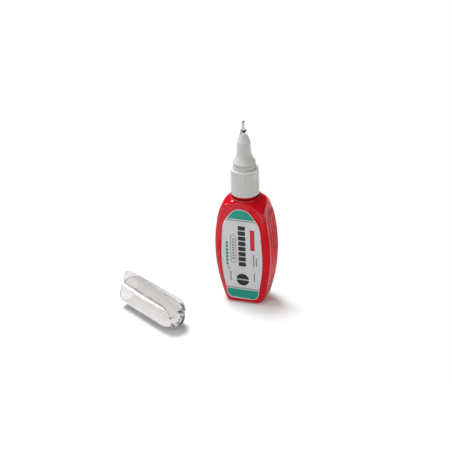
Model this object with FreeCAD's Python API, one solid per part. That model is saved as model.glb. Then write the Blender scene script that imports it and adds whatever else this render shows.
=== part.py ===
import FreeCAD, Part
import math
import os

# Correction pen: a squeeze bottle that stands on its base with its metal tip up, and its clear cap
# lying beside it. Millimetres. Z up, X across the label, the front label faces -Y, and the origin
# is the middle of the base.

vector = FreeCAD.Vector
upright = vector(0, 0, 1)

# Bottle
bottle_width = 32.0
bottle_depth = 17.74
widest_height = 32.3
side_radius = 90.0
foot_radius = 102.0
shoulder_radius = 16.0
shoulder_start = 54.5
shoulder_top = 61.9
shoulder_fall = 0.7
body_corner = 3.7
foot_swell = 2.0
foot_swell_height = 22.0
round_fullness = 0.5523
corner_fullness = 0.66
arch_start = 56.0
tongue_start = 50.0
tongue_end = 58.0
base_edge = 2.0
bottle_wall = 1.1
base_wall = 1.5
ring_radius = 8.05
ring_stand = 0.4
ring_edge = 0.3
ring_top = shoulder_top + ring_stand

# Neck
neck_radius = 6.2
neck_bore = 5.0
neck_length = 12.9
neck_top = ring_top + neck_length
neck_bead = 0.35
neck_bead_rise = 4.3
neck_bead_height = ring_top + neck_bead_rise
snap_clearance = 0.05

# Grip panels on both narrow sides: set in under a ledge, and running out towards the base
panel_depth = 0.4
panel_top = 51.5
panel_bottom = 14.0
panel_run_out = 0.05

# Grip grooves down the panels
groove_count = 4
groove_pitch = 3.15
groove_round = 1.6
groove_depth = 0.5
groove_middle = 30.3
groove_reach = 20.6
groove_step = 0.6
groove_lean = 0.9

# Labels. The lower points are (share of the half width, height above the bottom), and the upper
# ones (share of the half width, height above the widest place).
label_thickness = 0.1
label_bottom = 2.65
label_width = 23.0
label_widest = 29.5
label_lower = ((0.52, 0), (0.70, 1.2), (0.79, 4.4), (0.945, 15.0))
label_upper = ((0.95, 11.0), (0.83, 19.4))
label_shoulder = 6.3
label_shoulder_rise = 24.2
label_crest = 3.78
label_crest_rise = 26.8
label_rise = 27.7

# Seal between the neck and the nozzle, and the nozzle's flange over it
seal_thickness = 0.8
flange_height = 1.0

# Collar
collar_gap = 0.8
collar_lid = 1.1
collar_bottom = ring_top + collar_gap
collar_top = neck_top + seal_thickness + flange_height + collar_lid
collar_bottom_radius = 7.61
collar_top_radius = 7.48
collar_bore = 6.75
collar_edge = 0.35
collar_bead = 0.4
collar_rib_count = 44
collar_rib_depth = 0.16
collar_rib_round = 0.22

# Nozzle. Shoulder and lip are drafted, and the seat between them is straight.
nozzle_flange_clearance = 0.15
nozzle_draft = 0.04
nozzle_shoulder_radius = 6.12
nozzle_shoulder_stand = 0.2
nozzle_shoulder_top = collar_top + nozzle_shoulder_stand
nozzle_seat_radius = 6.02
nozzle_seat_height = 1.7
nozzle_seat_top = nozzle_shoulder_top + nozzle_seat_height
nozzle_seat_edge = 0.35
nozzle_recess = 0.45
nozzle_recess_height = 0.9
nozzle_lip_radius = 5.92
nozzle_lip_height = 1.0
nozzle_lip_edge = 0.28
lip_bottom = nozzle_seat_top + nozzle_recess_height
lip_top = lip_bottom + nozzle_lip_height
collar_hole_clearance = 0.2
flare_height = 6.9
flare_top = lip_top + flare_height
flare_top_radius = 3.69
nose_height = 4.9
nose_step_height = flare_top + nose_height
nose_step_radius = 3.47
nose_step_edge = 0.22
nose_step = 0.6
nose_cone_bottom = nose_step_height + nose_step
nose_cone_bottom_radius = 3.07
nose_cone_height = 3.7
nose_cone_top = nose_cone_bottom + nose_cone_height
nose_cone_top_radius = 2.0
plug_radius_clearance = 0.08
plug_depth = 5.0
nozzle_chamber = 2.6
nozzle_chamber_taper = 0.6

# Metal tip
ferrule_height = 1.7
ferrule_top = nose_cone_top + ferrule_height
ferrule_top_radius = 1.57
ferrule_bottom_radius = 1.88
ferrule_edge = 0.18
ferrule_shank_radius = 1.45
ferrule_shank_length = 6.2
shank_bottom = nose_cone_top - ferrule_shank_length
ferrule_bore = 0.56
tube_length_out = 5.27
tube_top = ferrule_top + tube_length_out
tube_radius = 0.72
tube_wall = 0.2
tube_mouth = 0.27
tube_mouth_wall = 0.12
tube_roll = 0.45
tube_roll_round = 0.09
tube_end_radius = 0.45
tube_in_ferrule = 4.4

# Sprung valve
pin_radius = 0.36
pin_end_radius = 0.17
pin_end_chamfer = 0.08
valve_travel = 0.25
pin_left_out = 0.03
valve_seat_clearance = 0.02
head_radius = 1.55
head_height = 2.6
head_gap = 2.2
head_top = shank_bottom - head_gap
head_edge = 0.5
pin_in_head = 1.3
head_hollow = 1.04
spring_wire = 0.26
spring_wire_sides = 8
spring_radius = 1.35
spring_turns = 5
spring_length = 7.4
spring_play = 0.02
spring_seat_height = 2.6
spring_post_radius = 0.85
spring_post_height = 1.8
flow_slot = 1.1
flow_slot_depth = 1.6
flow_slot_count = 3

# Mixing ball
ball_radius = 2.4
ball_play = 0.05

# Cap, drawn standing on its mouth with the clip towards +Y, and then laid down. The end is a
# dome in two steps, each with a fine crease, and a flat disc; given as (radius, height).
cap_radius = 7.5
cap_length = 43.3
cap_straight = 36.0
cap_dome_end = (5.65, 40.5)
cap_upper_dome_start = (5.35, 40.6)
cap_upper_dome_middle = (4.95, 41.4)
cap_upper_dome_end = (4.35, 42.1)
cap_disc_foot = (4.0, 42.2)
cap_disc_edge = (3.4, 43.0)
cap_disc_radius = 3.1
cap_mouth_edge = 0.3
cap_mouth_bore = 6.1
cap_mouth_depth = 9.3
cap_mouth_step = 0.4
cap_mouth_lead = 0.4
cap_bore = 5.7
cap_bore_top = 5.4
cap_bore_depth = 33.6
cap_bore_dome_middle = (4.75, 37.9)
cap_bore_dome_end = (3.2, 41.0)
cap_bore_end_slope = 0.9
cap_end_wall = 1.3
cap_hole_radius = 0.47
cap_hole_pitch = 1.67
cap_hole_turn = -47.0
clip_thickness = 1.25
clip_crown = 0.4
clip_outside = 9.3
clip_bend = 5.2
clip_set_back = 0.4
clip_foot = 3.0
clip_end = ((4.75, -2.2), (4.14, -3.7), (2.24, -4.6), (-0.1, -3.84), (-2.61, -1.03), (-4.4, 1.8), (-4.9, 3.2))
clip_end_half_width = 5.55
cap_heading = -31.7
cap_turn = 7.1
cap_mouth_x = -59.54
cap_mouth_y = -24.34


def export(shape, name):
    shape.exportStep("parts/" + name + ".step")


def ring_of(outer, inner, bottom, top):
    tube = Part.makeCylinder(outer, top - bottom, vector(0, 0, bottom))
    bore = Part.makeCylinder(inner, top - bottom + 2, vector(0, 0, bottom - 1))
    return tube.cut(bore)


def turned(points):
    """Revolve a closed outline given as (radius, height) points about the Z axis."""
    corners = [vector(radius, 0, height) for radius, height in points]
    outline = Part.makePolygon(corners + corners[:1])
    return Part.Face(outline).revolve(vector(0, 0, 0), upright, 360)


def edges_at(shape, height, radius=None):
    """The circular edges at one height, or those of one radius there."""
    found = []
    for edge in shape.Edges:
        box = edge.BoundBox
        level = box.ZLength < 0.01 and abs(box.ZMin - height) < 0.01
        if level and (radius is None or abs(box.XMax - radius) < 0.02):
            found.append(edge)
    return found


# Below its widest height the side is one long arc. Above it another carries on, and then a short
# arc, tangent to that one, turns in to the ring.
side_centre = bottle_width / 2 - side_radius
foot_centre = bottle_width / 2 - foot_radius
shoulder_angle = math.asin((shoulder_start - widest_height) / side_radius)
shoulder_centre_x = side_centre + (side_radius - shoulder_radius) * math.cos(shoulder_angle)
shoulder_centre_z = widest_height + (side_radius - shoulder_radius) * math.sin(shoulder_angle)


def half_width(height):
    if height < widest_height:
        return foot_centre + math.sqrt(foot_radius ** 2 - (height - widest_height) ** 2)
    if height < shoulder_start:
        return side_centre + math.sqrt(side_radius ** 2 - (height - widest_height) ** 2)
    rise = min(height - shoulder_centre_z, shoulder_radius * 0.999)
    return shoulder_centre_x + math.sqrt(shoulder_radius ** 2 - rise ** 2)


def eased(height, start, end):
    share = min(max((height - start) / (end - start), 0), 1)
    return share * share * (3 - 2 * share)


def bottle_section(height, inset):
    """Rounded rectangle whose corners grow until the section is nearly a circle at the ring."""
    wide = half_width(height)
    deep = bottle_depth / 2
    above = max((height - arch_start) / (shoulder_top - arch_start), 0)
    front_flat = (wide - body_corner) * (1 - min(above, 0.97) ** 2.5)
    side_flat = (deep - body_corner) * (1 - 0.93 * eased(height, tongue_start, tongue_end))
    side_flat -= foot_swell * (1 - eased(height, 0, foot_swell_height))
    fullness = round_fullness + (corner_fullness - round_fullness) * eased(height, tongue_start, tongue_end)
    wide = wide - inset
    deep = deep - inset
    reach_x = wide - front_flat
    reach_y = deep - side_flat
    edges = []
    for turn_x, turn_y in ((1, 1), (-1, 1), (-1, -1), (1, -1)):
        side_end = vector(turn_x * wide, turn_y * side_flat, height)
        side_pull = side_end + vector(0, turn_y * reach_y * fullness, 0)
        front_end = vector(turn_x * front_flat, turn_y * deep, height)
        front_pull = front_end + vector(turn_x * reach_x * fullness, 0, 0)
        poles = [side_end, side_pull, front_pull, front_end]
        if turn_x * turn_y < 0:
            poles.reverse()
        corner = Part.BezierCurve()
        corner.setPoles(poles)
        if edges:
            last = edges[-1].Vertexes[-1].Point
            edges.append(Part.makeLine(last, poles[0]))
        edges.append(corner.toShape())
    edges.append(Part.makeLine(edges[-1].Vertexes[-1].Point, edges[0].Vertexes[0].Point))
    return Part.Wire(edges)


def bottle_form(inset, bottom):
    """The bottle's outer form, or its cavity where inset is the wall's thickness."""
    shares = (0.0, 0.12, 0.24, 0.37, 0.5, 0.63, 0.76, 0.88, 1.0)
    straight_end = shoulder_start - 4
    heights = [bottom + (straight_end - bottom) * share for share in shares]
    heights += [shoulder_start + step for step in (-1.8, 0.2, 1.8, 3.2, 4.5, 5.7, 6.8, 7.8, 8.8)]
    form = Part.makeLoft([bottle_section(height, inset) for height in heights], True, False)
    slope = shoulder_fall
    lift = inset * math.sqrt(1 + slope ** 2)
    cone_top = shoulder_top - lift
    reach = bottle_width
    chamfer = turned([
        (0, bottom - 1),
        (reach, bottom - 1),
        (reach, cone_top - (reach - ring_radius) * slope),
        (ring_radius, cone_top),
        (0, cone_top),
    ])
    return form.common(chamfer)


def make_grip_panels():
    """Slabs outside an arc that leaves the side near the base and lies deepest under the ledge."""
    middle = (panel_bottom + panel_top) / 2
    low = vector(half_width(panel_bottom) + panel_run_out, 0, panel_bottom)
    high = vector(half_width(panel_top) - panel_depth, 0, panel_top)
    between = vector(half_width(middle) - (panel_depth - panel_run_out) / 2, 0, middle)
    outside = bottle_width
    corners = [high, vector(outside, 0, panel_top), vector(outside, 0, panel_bottom), low]
    edges = [Part.makeLine(start, end) for start, end in zip(corners[:-1], corners[1:])]
    edges.append(Part.Arc(low, between, high).toShape())
    slab = Part.Face(Part.Wire(edges)).extrude(vector(0, bottle_depth, 0))
    slab.translate(vector(0, -bottle_depth / 2, 0))
    return [slab, slab.mirror(vector(0, 0, 0), vector(1, 0, 0))]


def make_grip_grooves():
    """Long thin tori whose arc is a little flatter than the side, so each groove runs out at its ends."""
    tools = []
    pivot = vector(half_width(panel_bottom), 0, panel_bottom)
    panel_lean = math.degrees(math.atan(panel_depth / (panel_top - panel_bottom)))
    under_ledge = Part.makeBox(bottle_width, bottle_depth, panel_top, vector(0, -bottle_depth / 2, 0))
    middle = (groove_count - 1) / 2
    for index in range(groove_count):
        place = index - middle
        reach = groove_reach - groove_step * (abs(place) - 0.5)
        sag = side_radius - math.sqrt(side_radius ** 2 - reach ** 2) - groove_depth
        bed_radius = (reach ** 2 + sag ** 2) / (2 * sag)
        path_radius = bed_radius + groove_round
        spread = math.degrees(math.asin((reach + groove_round) / path_radius))
        disc = Part.Face(Part.Wire([Part.makeCircle(groove_round, vector(path_radius, 0, 0))]))
        disc.rotate(vector(0, 0, 0), vector(0, 1, 0), spread)
        tool = disc.revolve(vector(0, 0, 0), vector(0, 1, 0), -2 * spread)
        tool.translate(vector(bottle_width / 2 - groove_depth - bed_radius, 0, 0))
        tool.rotate(vector(0, 0, 0), vector(1, 0, 0), -groove_lean * place)
        tool.translate(vector(0, place * groove_pitch, groove_middle))
        tool.rotate(pivot, vector(0, 1, 0), -panel_lean)
        tool = tool.common(under_ledge)
        tools.append(tool)
        tools.append(tool.mirror(vector(0, 0, 0), vector(1, 0, 0)))
    return tools


def make_bottle():
    outside = bottle_form(0, 0)
    base_edges = [edge for edge in outside.Edges if edge.BoundBox.ZMax < 0.01]
    outside = outside.makeFillet(base_edge, base_edges)
    outside = outside.cut(Part.makeCompound(make_grip_panels()))
    outside = outside.cut(Part.makeCompound(make_grip_grooves()))
    ring = Part.makeCylinder(ring_radius, ring_stand + 1.6, vector(0, 0, shoulder_top - 1.6))
    ring = ring.makeFillet(ring_edge, edges_at(ring, ring_top))
    neck = Part.makeCylinder(neck_radius, neck_top - ring_top + 1, vector(0, 0, ring_top - 1))
    neck = neck.makeChamfer(neck_bead, edges_at(neck, neck_top))
    bead = turned([
        (neck_radius - 0.5, neck_bead_height - 0.6),
        (neck_radius, neck_bead_height - 0.6),
        (neck_radius + neck_bead, neck_bead_height - 0.3),
        (neck_radius + neck_bead, neck_bead_height + 0.1),
        (neck_radius, neck_bead_height + 1.0),
        (neck_radius - 0.5, neck_bead_height + 1.0),
    ])
    solid = outside.fuse([ring, neck, bead])
    cavity = bottle_form(bottle_wall, base_wall)
    bore = Part.makeCylinder(neck_bore, neck_top - shoulder_start, vector(0, 0, shoulder_start + 1))
    return solid.cut(cavity.fuse(bore)).removeSplitter()


def make_label(front):
    """A thin label on the flat front or back of the bottle."""
    half = label_width / 2
    right_points = [(half * share, label_bottom + rise) for share, rise in label_lower]
    right_points.append((half, label_widest))
    right_points += [(half * share, label_widest + rise) for share, rise in label_upper]
    right_points += [
        (label_shoulder, label_widest + label_shoulder_rise),
        (label_crest, label_widest + label_crest_rise),
        (0, label_widest + label_rise),
    ]
    points = [vector(x, 0, z) for x, z in right_points]
    mirrored = [vector(-x, 0, z) for x, z in reversed(right_points[:-1])]
    side = Part.BSplineCurve()
    side.interpolate(points + mirrored)
    bottom = Part.makeLine(mirrored[-1], points[0])
    face = Part.Face(Part.Wire([side.toShape(), bottom]))
    direction = -1 if front else 1
    label = face.extrude(vector(0, direction * label_thickness, 0))
    label.translate(vector(0, direction * bottle_depth / 2, 0))
    return label


def make_collar():
    """Ribbed snap collar with a lid that holds the nozzle's flange down."""
    hole = nozzle_shoulder_radius + collar_hole_clearance
    body = turned([
        (collar_bore, collar_bottom),
        (collar_bottom_radius, collar_bottom),
        (collar_top_radius, collar_top),
        (hole, collar_top),
        (hole, collar_top - collar_lid),
        (collar_bore, collar_top - collar_lid),
    ])
    body = body.makeFillet(collar_edge, edges_at(body, collar_top, collar_top_radius))
    catch_top = neck_bead_height - 0.6 - snap_clearance
    catch = turned([
        (collar_bore + 0.2, catch_top - 1.6),
        (collar_bore, catch_top - 1.6),
        (collar_bore - collar_bead, catch_top - 0.5),
        (collar_bore - collar_bead, catch_top),
        (collar_bore + 0.2, catch_top),
    ])
    lean = math.degrees(math.atan((collar_bottom_radius - collar_top_radius) / (collar_top - collar_bottom)))
    rib_end = collar_top - collar_edge - 0.3
    grooves = []
    for index in range(collar_rib_count):
        groove = Part.makeCylinder(collar_rib_round, rib_end - collar_bottom + 1, vector(0, 0, -1))
        groove.rotate(vector(0, 0, 0), vector(0, 1, 0), -lean)
        out = collar_bottom_radius + collar_rib_round - collar_rib_depth
        groove.translate(vector(out, 0, collar_bottom))
        groove.rotate(vector(0, 0, 0), upright, 360.0 * index / collar_rib_count)
        grooves.append(groove)
    return body.fuse(catch).removeSplitter().cut(Part.makeCompound(grooves))


def make_neck_seal():
    return ring_of(neck_radius, neck_bore, neck_top, neck_top + seal_thickness)


def make_nozzle():
    """White nozzle: flange, cap seat, lip, concave flare and nose, bored through for the valve."""
    flange_bottom = neck_top + seal_thickness
    flange_top = flange_bottom + flange_height
    flange_radius = collar_bore - nozzle_flange_clearance
    recess_radius = nozzle_seat_radius - nozzle_recess
    plug_radius = neck_bore - plug_radius_clearance
    plug_bottom = neck_top - plug_depth
    shoulder_foot_radius = nozzle_shoulder_radius + nozzle_draft
    lip_foot_radius = nozzle_lip_radius + nozzle_draft
    spread = nozzle_lip_radius - flare_top_radius
    fall = flare_top - lip_top
    flare_radius = (spread ** 2 + fall ** 2) / (2 * spread)
    flare_sweep = math.asin(fall / flare_radius)
    flare_middle = vector(
        flare_top_radius + flare_radius * (1 - math.cos(flare_sweep / 2)),
        0,
        flare_top - flare_radius * math.sin(flare_sweep / 2),
    )
    shank = ferrule_shank_radius
    below = [
        (nozzle_chamber, plug_bottom),
        (plug_radius, plug_bottom),
        (plug_radius, flange_bottom),
        (flange_radius, flange_bottom),
        (flange_radius, flange_top),
        (shoulder_foot_radius, flange_top),
        (nozzle_shoulder_radius, nozzle_shoulder_top),
        (nozzle_seat_radius, nozzle_shoulder_top),
        (nozzle_seat_radius, nozzle_seat_top),
        (recess_radius, nozzle_seat_top),
        (recess_radius, lip_bottom),
        (lip_foot_radius, lip_bottom),
        (nozzle_lip_radius, lip_top),
    ]
    above = [
        (flare_top_radius, flare_top),
        (nose_step_radius, nose_step_height),
        (nose_cone_bottom_radius, nose_cone_bottom),
        (nose_cone_top_radius, nose_cone_top),
        (shank, nose_cone_top),
        (shank, shank_bottom),
        (nozzle_chamber - nozzle_chamber_taper, shank_bottom),
        (nozzle_chamber, shank_bottom - nozzle_chamber_taper),
        (nozzle_chamber, plug_bottom),
    ]
    lower = [vector(radius, 0, height) for radius, height in below]
    upper = [vector(radius, 0, height) for radius, height in above]
    edges = [Part.makeLine(start, end) for start, end in zip(lower[:-1], lower[1:])]
    edges.append(Part.Arc(lower[-1], flare_middle, upper[0]).toShape())
    edges += [Part.makeLine(start, end) for start, end in zip(upper[:-1], upper[1:])]
    body = Part.Face(Part.Wire(edges)).revolve(vector(0, 0, 0), upright, 360)
    body = body.makeFillet(nozzle_seat_edge, edges_at(body, nozzle_seat_top, nozzle_seat_radius))
    body = body.makeFillet(nozzle_lip_edge, edges_at(body, lip_bottom, lip_foot_radius))
    return body.makeFillet(nose_step_edge, edges_at(body, nose_step_height, nose_step_radius))


def make_tip_ferrule():
    """Turned metal ferrule pressed into the nose, with a bore for the tube and the valve pin."""
    body = turned([
        (ferrule_bore, shank_bottom),
        (ferrule_shank_radius, shank_bottom),
        (ferrule_shank_radius, nose_cone_top),
        (ferrule_bottom_radius, nose_cone_top),
        (ferrule_top_radius, ferrule_top),
        (tube_radius, ferrule_top),
        (tube_radius, ferrule_top - tube_in_ferrule),
        (ferrule_bore, ferrule_top - tube_in_ferrule),
    ])
    return body.makeFillet(ferrule_edge, edges_at(body, ferrule_top, ferrule_top_radius))


# Inside, the tube narrows from here to its mouth, and the pin's own taper sits against it.
tube_seat_start = tube_top - tube_roll - tube_wall / 2


def make_tip_tube():
    """Thin metal tube with its end rolled in to a small mouth, where the pin seals."""
    inside = tube_radius - tube_wall
    bottom = ferrule_top - tube_in_ferrule
    roll_start = tube_top - tube_roll
    return turned([
        (inside, bottom),
        (tube_radius, bottom),
        (tube_radius, roll_start),
        (tube_radius - tube_roll_round, roll_start + tube_roll * 0.6),
        (tube_end_radius, tube_top),
        (tube_mouth, tube_top),
        (tube_mouth, tube_top - tube_mouth_wall),
        (inside, tube_seat_start),
    ])


def make_valve_pin():
    """Needle that fills the tube's mouth from inside and stands a little out of it."""
    inside = tube_radius - tube_wall
    seat_length = tube_top - tube_mouth_wall - tube_seat_start
    taper = (inside - tube_mouth) / seat_length
    taper_start = tube_seat_start + (inside - pin_radius) / taper - valve_seat_clearance / taper
    end = tube_top + valve_travel + pin_left_out
    bottom = head_top - pin_in_head
    return turned([
        (0, bottom),
        (pin_radius, bottom),
        (pin_radius, taper_start),
        (pin_end_radius, taper_start + (pin_radius - pin_end_radius) / taper),
        (pin_end_radius, end - pin_end_chamfer),
        (pin_end_radius - pin_end_chamfer, end),
        (0, end),
    ])


def make_valve_head():
    """Plunger that carries the pin; the spring bears on its lower rim."""
    bottom = head_top - head_height
    return turned([
        (0, bottom + head_hollow),
        (spring_post_radius, bottom + head_hollow),
        (spring_post_radius, bottom),
        (head_radius, bottom),
        (head_radius, head_top - head_edge),
        (head_radius - head_edge, head_top),
        (pin_radius, head_top),
        (pin_radius, head_top - pin_in_head),
        (0, head_top - pin_in_head),
    ])


def make_valve_spring():
    top = head_top - head_height
    bottom = top - spring_length
    pitch = (spring_length - spring_wire - 2 * spring_play) / spring_turns
    start = bottom + spring_wire / 2 + spring_play
    path = Part.makeHelix(pitch, pitch * spring_turns, spring_radius)
    path.translate(vector(0, 0, start))
    corners = []
    for index in range(spring_wire_sides):
        angle = 2 * math.pi * (index + 0.5) / spring_wire_sides
        out = spring_radius + spring_wire / 2 * math.cos(angle)
        corners.append(vector(out, 0, start + spring_wire / 2 * math.sin(angle)))
    section = Part.makePolygon(corners + corners[:1])
    return Part.Wire(path.Edges).makePipeShell([section], True, True)


def make_spring_seat():
    """Plug pressed into the chamber's mouth: a post for the spring and slots for the fluid."""
    top = head_top - head_height - spring_length
    bottom = top - spring_seat_height
    plug = Part.makeCylinder(nozzle_chamber, spring_seat_height, vector(0, 0, bottom))
    post = Part.makeCylinder(spring_post_radius, spring_post_height, vector(0, 0, top))
    body = plug.fuse(post)
    corner = vector(flow_slot_depth, -flow_slot / 2, bottom - 1)
    for index in range(flow_slot_count):
        slot = Part.makeBox(nozzle_chamber, flow_slot, spring_seat_height + 2, corner)
        slot.rotate(vector(0, 0, 0), upright, 360.0 * index / flow_slot_count)
        body = body.cut(slot)
    return body


def make_mixing_ball():
    return Part.makeSphere(ball_radius, vector(0, 0, base_wall + ball_radius + ball_play))


def arc_through(start, middle, end):
    points = [vector(radius, 0, height) for radius, height in (start, middle, end)]
    return Part.Arc(points[0], points[1], points[2]).toShape()


def lines_through(points):
    corners = [vector(radius, 0, height) for radius, height in points]
    return [Part.makeLine(start, end) for start, end in zip(corners[:-1], corners[1:])]


def cap_body():
    """The cap turned about its axis: straight side, stepped dome and a flat end disc."""
    straight_end = (cap_radius, cap_straight)
    inward = cap_radius - cap_dome_end[0]
    rise = cap_dome_end[1] - cap_straight
    dome_radius = (inward ** 2 + rise ** 2) / (2 * inward)
    half_turn = math.asin(rise / dome_radius) / 2
    dome_middle = (
        cap_radius - dome_radius * (1 - math.cos(half_turn)),
        cap_straight + dome_radius * math.sin(half_turn),
    )
    edges = lines_through([(0, 0), (cap_radius, 0), straight_end])
    edges.append(arc_through(straight_end, dome_middle, cap_dome_end))
    edges += lines_through([cap_dome_end, cap_upper_dome_start])
    edges.append(arc_through(cap_upper_dome_start, cap_upper_dome_middle, cap_upper_dome_end))
    edges += lines_through([
        cap_upper_dome_end,
        cap_disc_foot,
        cap_disc_edge,
        (cap_disc_radius, cap_length),
        (0, cap_length),
        (0, 0),
    ])
    body = Part.Face(Part.Wire(edges)).revolve(vector(0, 0, 0), upright, 360)
    return body.makeFillet(cap_mouth_edge, edges_at(body, 0, cap_radius))


def cap_hollow():
    floor = cap_length - cap_end_wall
    bore_end = (cap_bore_top, cap_bore_depth)
    edges = lines_through([
        (0, -1),
        (cap_mouth_bore + cap_mouth_lead, -1),
        (cap_mouth_bore + cap_mouth_lead, 0),
        (cap_mouth_bore, cap_mouth_lead),
        (cap_mouth_bore, cap_mouth_depth),
        (cap_bore, cap_mouth_depth + cap_mouth_step),
        bore_end,
    ])
    edges.append(arc_through(bore_end, cap_bore_dome_middle, cap_bore_dome_end))
    edges += lines_through([cap_bore_dome_end, (cap_bore_dome_end[0] - cap_bore_end_slope, floor), (0, floor), (0, -1)])
    return Part.Face(Part.Wire(edges)).revolve(vector(0, 0, 0), upright, 360)


def cap_clip():
    """Clip: a crowned strip beside the cap that turns down at the end and joins the dome."""
    middle = clip_outside - clip_thickness / 2
    half = clip_end_half_width + 0.5
    turn_radius = clip_bend - clip_thickness / 2
    turn_start = cap_length - clip_set_back - clip_bend
    low = clip_outside - clip_thickness
    high = clip_outside - clip_crown
    start = min(height for across, height in clip_end) - 1
    corners = [vector(x, y, start) for x, y in ((-half, high), (-half, low), (half, low), (half, high))]
    sides = [Part.makeLine(first, second) for first, second in zip(corners[:-1], corners[1:])]
    crown = Part.Arc(corners[-1], vector(0, clip_outside, start), corners[0]).toShape()
    section = Part.Wire(sides + [crown])
    diagonal = turn_radius * math.sqrt(0.5)
    bend_start = vector(0, middle, turn_start)
    bend_middle = vector(0, middle - turn_radius + diagonal, turn_start + diagonal)
    bend_end = vector(0, middle - turn_radius, turn_start + turn_radius)
    run = Part.makeLine(vector(0, middle, start), bend_start)
    bend = Part.Arc(bend_start, bend_middle, bend_end).toShape()
    drop = Part.makeLine(bend_end, vector(0, clip_foot, turn_start + turn_radius))
    strip = Part.Wire([run, bend, drop]).makePipeShell([section], True, False)
    outline = Part.BSplineCurve()
    outline.interpolate([vector(x, 0, z) for x, z in clip_end])
    far = cap_length + 1
    wide = clip_end_half_width
    corners = [clip_end[-1], (-wide, far), (wide, far), clip_end[0]]
    border = Part.Wire([outline.toShape()] + lines_through(corners))
    return strip.common(Part.Face(border).extrude(vector(0, clip_outside + 1, 0)))


def make_cap():
    """Clear cap with its clip, laid on its side."""
    shell = cap_body().fuse(cap_clip()).cut(cap_hollow())
    for place in (-1, 0, 1):
        start = vector(0, place * cap_hole_pitch, cap_length - cap_end_wall - 1)
        hole = Part.makeCylinder(cap_hole_radius, cap_end_wall + 2, start)
        hole.rotate(vector(0, 0, 0), upright, cap_hole_turn)
        shell = shell.cut(hole)
    shell = shell.removeSplitter()
    shell.rotate(vector(0, 0, 0), upright, cap_turn)
    shell.rotate(vector(0, 0, 0), vector(1, 0, 0), 90)
    shell.rotate(vector(0, 0, 0), upright, 90 + cap_heading)
    shell.translate(vector(cap_mouth_x, cap_mouth_y, cap_radius))
    return shell


os.makedirs("parts", exist_ok=True)
export(make_bottle(), "bottle")
export(make_label(True), "front_label")
export(make_label(False), "back_label")
export(make_collar(), "collar")
export(make_neck_seal(), "neck_seal")
export(make_nozzle(), "nozzle")
export(make_tip_ferrule(), "tip_ferrule")
export(make_tip_tube(), "tip_tube")
export(make_valve_pin(), "valve_pin")
export(make_valve_head(), "valve_head")
export(make_valve_spring(), "valve_spring")
export(make_spring_seat(), "spring_seat")
export(make_mixing_ball(), "mixing_ball")
export(make_cap(), "cap")
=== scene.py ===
import math

import bmesh
import bpy
import numpy as np
from mathutils import Matrix


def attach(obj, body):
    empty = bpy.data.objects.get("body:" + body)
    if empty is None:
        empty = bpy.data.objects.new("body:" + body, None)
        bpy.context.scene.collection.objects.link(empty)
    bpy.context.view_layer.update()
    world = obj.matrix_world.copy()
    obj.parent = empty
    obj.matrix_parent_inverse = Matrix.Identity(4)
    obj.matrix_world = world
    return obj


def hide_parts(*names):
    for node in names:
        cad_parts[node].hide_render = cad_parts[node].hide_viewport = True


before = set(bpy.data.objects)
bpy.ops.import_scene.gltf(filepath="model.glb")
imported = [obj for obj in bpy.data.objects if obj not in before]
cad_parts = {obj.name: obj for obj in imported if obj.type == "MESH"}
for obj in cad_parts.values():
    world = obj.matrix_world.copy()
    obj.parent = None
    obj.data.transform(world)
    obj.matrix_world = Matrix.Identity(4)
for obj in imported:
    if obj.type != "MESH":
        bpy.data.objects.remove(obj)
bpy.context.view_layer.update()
print("frame loaded", sorted(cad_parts))

# Correction pen: a red squeeze bottle that stands with its metal tip up, and its clear cap beside it.
# Sizes in the dictionaries are millimetres, as in the CAD, and become metres in makePiece.

millimetre = 0.001


def linearColour(hexText):
    """sRGB hex to the linear values that Blender's sockets take."""
    parts = np.array([int(hexText[i:i + 2], 16) for i in (1, 3, 5)]) / 255
    linear = np.where(parts <= 0.04045, parts / 12.92, ((parts + 0.055) / 1.055) ** 2.4)
    return (*(float(value) for value in linear), 1.0)


def addNode(tree, kind, settings=None, inputs=None, links=None):
    """Adds one node, sets its properties and sockets, and links sockets from other nodes."""
    node = tree.nodes.new(kind)
    for name, value in (settings or {}).items():
        setattr(node, name, value)
    for name, value in (inputs or {}).items():
        node.inputs[name].default_value = value
    for name, source in (links or {}).items():
        tree.links.new(source, node.inputs[name])
    return node


def newMaterial(name):
    material = bpy.data.materials.new(name)
    material.use_nodes = True
    material.node_tree.nodes.clear()
    return material, material.node_tree


def eased(value, start, end):
    share = np.clip((value - start) / (end - start), 0, 1)
    return share * share * (3 - 2 * share)


def softMin(first, second, width):
    """The smaller of two values, with the change from one to the other rounded over width."""
    blend = np.clip(0.5 + 0.5 * (second - first) / width, 0, 1)
    return second + (first - second) * blend - width * blend * (1 - blend)


def gridFaces(rows, columns, closed):
    """Quads of a grid of rows x columns points; closed joins the last column to the first."""
    last = columns if closed else columns - 1
    row, column = np.meshgrid(np.arange(rows - 1), np.arange(last), indexing="ij")
    beside = (column + 1) % columns
    corners = [row * columns + column, row * columns + beside,
               (row + 1) * columns + beside, (row + 1) * columns + column]
    return np.stack(corners, -1).reshape(-1, 4)


def makePiece(name, points, faces, body, material, sharp=35):
    """A mesh object at the origin from points in millimetres, with doubles merged and faces outward."""
    mesh = bpy.data.meshes.new(name)
    scaled = np.asarray(points, float).reshape(-1, 3) * millimetre
    mesh.from_pydata(scaled.tolist(), [], [list(map(int, face)) for face in faces])
    tidyMesh(mesh, sharp)
    piece = bpy.data.objects.new(name, mesh)
    bpy.context.scene.collection.objects.link(piece)
    piece.data.materials.append(material)
    if body:
        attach(piece, body)
    return piece


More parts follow.
